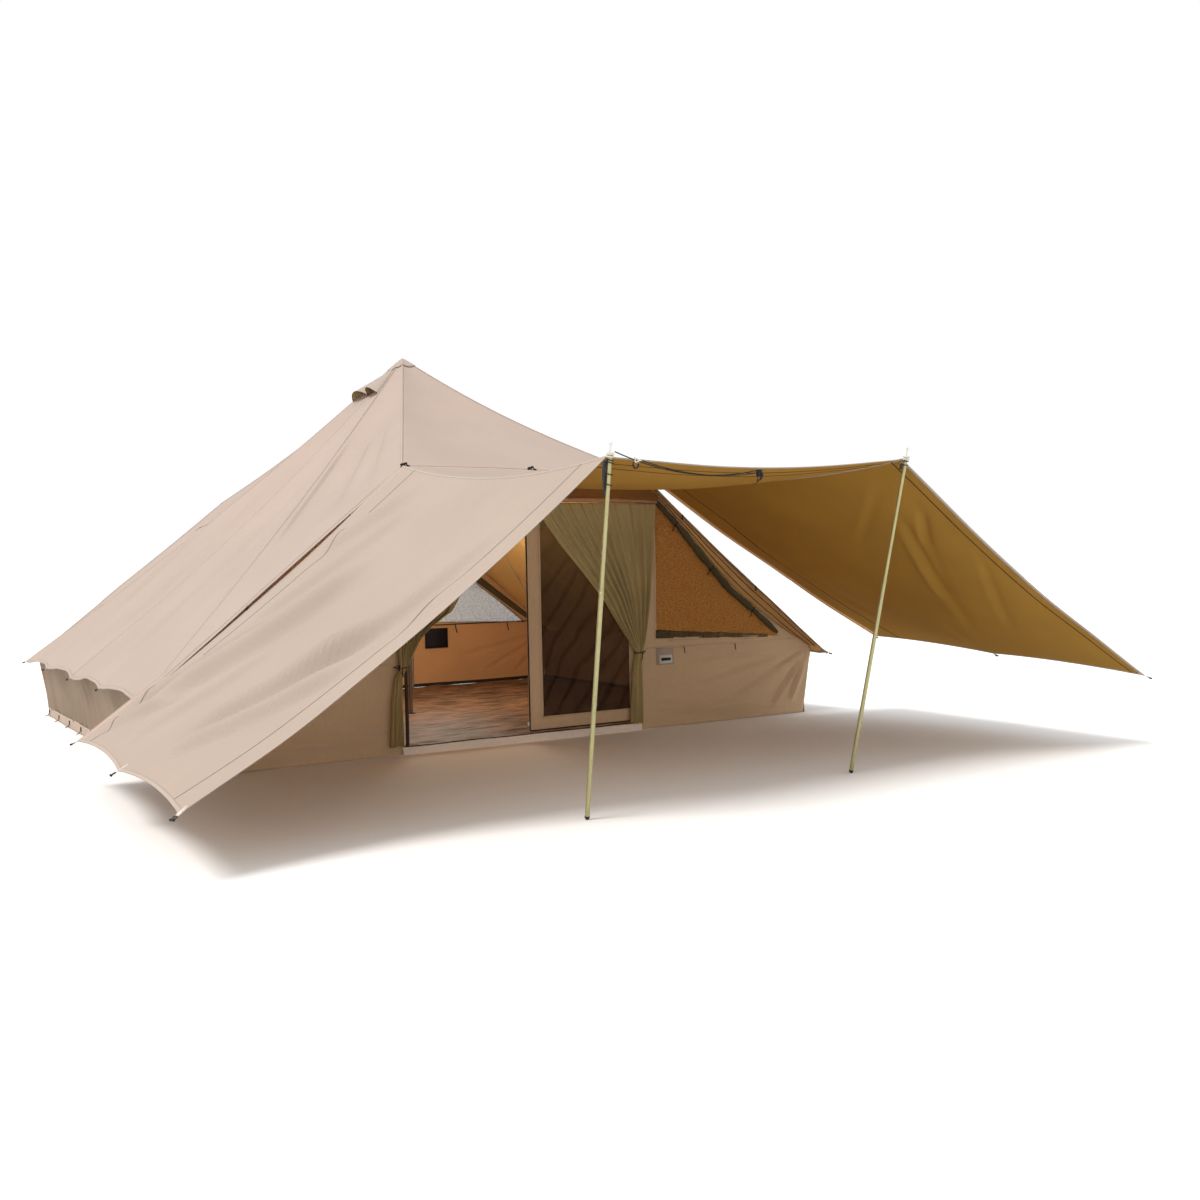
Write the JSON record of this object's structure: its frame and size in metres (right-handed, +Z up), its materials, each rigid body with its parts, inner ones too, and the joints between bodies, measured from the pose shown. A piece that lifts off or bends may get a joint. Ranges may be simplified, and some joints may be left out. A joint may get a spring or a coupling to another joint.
{
  "type": "bell tent",
  "caption": "Bell tent with a centre pole, portal door, low side walls and a sun canopy on two telescopic poles.",
  "frame": {"origin": "on the ground under the centre pole, the middle of the groundsheet's underside", "axes": "+Z up, the door faces -Y, +X to the right of somebody who looks at the door"},
  "size_m": [6.5946, 7.9455, 3.299],
  "materials": {
    "roof_canvas": "woven cotton canvas",
    "canopy_canvas": "woven cotton canvas",
    "wall_canvas": "woven cotton canvas",
    "mesh": "fine insect mesh",
    "groundsheet": "coated woven sheet",
    "pole_steel": "galvanised, satin",
    "zinc": "bright zinc",
    "black_plastic": "moulded",
    "rubber": "matt",
    "rope": "braided cord"
  },
  "bodies": {
    "tent": {"back_crossbar": "pole_steel", "back_left_corner": "black_plastic", "back_left_pole": "pole_steel", "back_left_window": "mesh", "back_panel": "wall_canvas", "back_right_corner": "black_plastic", "back_right_pole": "pole_steel", "back_right_window": "mesh", "canopy_centre": "canopy_canvas", "canopy_left_wing": "canopy_canvas", "canopy_right_wing": "canopy_canvas", "centre_pole_foot": "black_plastic", "centre_pole_head": "black_plastic", "centre_pole_lower": "pole_steel", "centre_pole_sleeve": "pole_steel", "centre_pole_upper": "pole_steel", "curtain_left": "wall_canvas", "curtain_right": "wall_canvas", "door_sill": "wall_canvas", "front_crossbar": "pole_steel", "front_left_corner": "black_plastic", "front_left_panel": "wall_canvas", "front_left_pole": "pole_steel", "front_left_window": "mesh", "front_lintel": "wall_canvas", "front_right_corner": "black_plastic", "front_right_panel": "wall_canvas", "front_right_pole": "pole_steel", "front_right_window": "mesh", "groundsheet": "groundsheet", "guy_clip": "black_plastic", "guy_rope_inner": "rope", "guy_rope_outer": "rope", "guy_runner": "zinc", "left_pole_spike": "zinc", "left_pole_upper_tube": "pole_steel", "peak_cap": "roof_canvas", "right_pole_spike": "zinc", "right_pole_upper_tube": "pole_steel", "roof_back": "roof_canvas", "roof_back_left": "roof_canvas", "roof_back_right": "roof_canvas", "roof_front": "roof_canvas", "roof_front_left": "roof_canvas", "roof_front_right": "roof_canvas", "roof_left": "roof_canvas", "roof_right": "roof_canvas", "vent_hood_left": "roof_canvas", "vent_hood_right": "roof_canvas", "wall_left": "wall_canvas", "wall_right": "wall_canvas"},
    "mesh_door": {"mesh_door_frame": "wall_canvas", "mesh_door_net": "mesh"},
    "door_zip": {"door_zip_slider": "zinc"},
    "left_lower_pole": {"left_pole_lower_tube": "pole_steel", "left_pole_foot": "rubber"},
    "right_lower_pole": {"right_pole_lower_tube": "pole_steel", "right_pole_foot": "rubber"},
    "left_button": {"left_pole_button": "zinc"},
    "right_button": {"right_pole_button": "zinc"}
  },
  "joints": [
    {"name": "mesh_door_swing", "type": "hinge", "parent": "tent", "child": "mesh_door", "pos_m": [0.985, -2.309, 0], "axis": [0, 0, 1], "range_deg": [-90, 0]},
    {"name": "door_zip_slide", "type": "slide", "parent": "mesh_door", "child": "door_zip", "axis": [0, 0, 1], "range_m": [0, 1.6]},
    {"name": "left_pole_slide", "type": "slide", "parent": "tent", "child": "left_lower_pole", "axis": [-0.0443, -0.2213, 0.9742], "range_m": [0, 0.3]},
    {"name": "left_button_press", "type": "slide", "parent": "left_lower_pole", "child": "left_button", "axis": [-0.999, 0.0098, -0.0432], "range_m": [0, 0.0025], "stiffness_N_per_m": 600},
    {"name": "right_pole_slide", "type": "slide", "parent": "tent", "child": "right_lower_pole", "axis": [0.0403, -0.2143, 0.9759], "range_m": [0, 0.3]},
    {"name": "right_button_press", "type": "slide", "parent": "right_lower_pole", "child": "right_button", "axis": [-0.9992, -0.0087, 0.0394], "range_m": [0, 0.0025], "stiffness_N_per_m": 600}
  ]
}
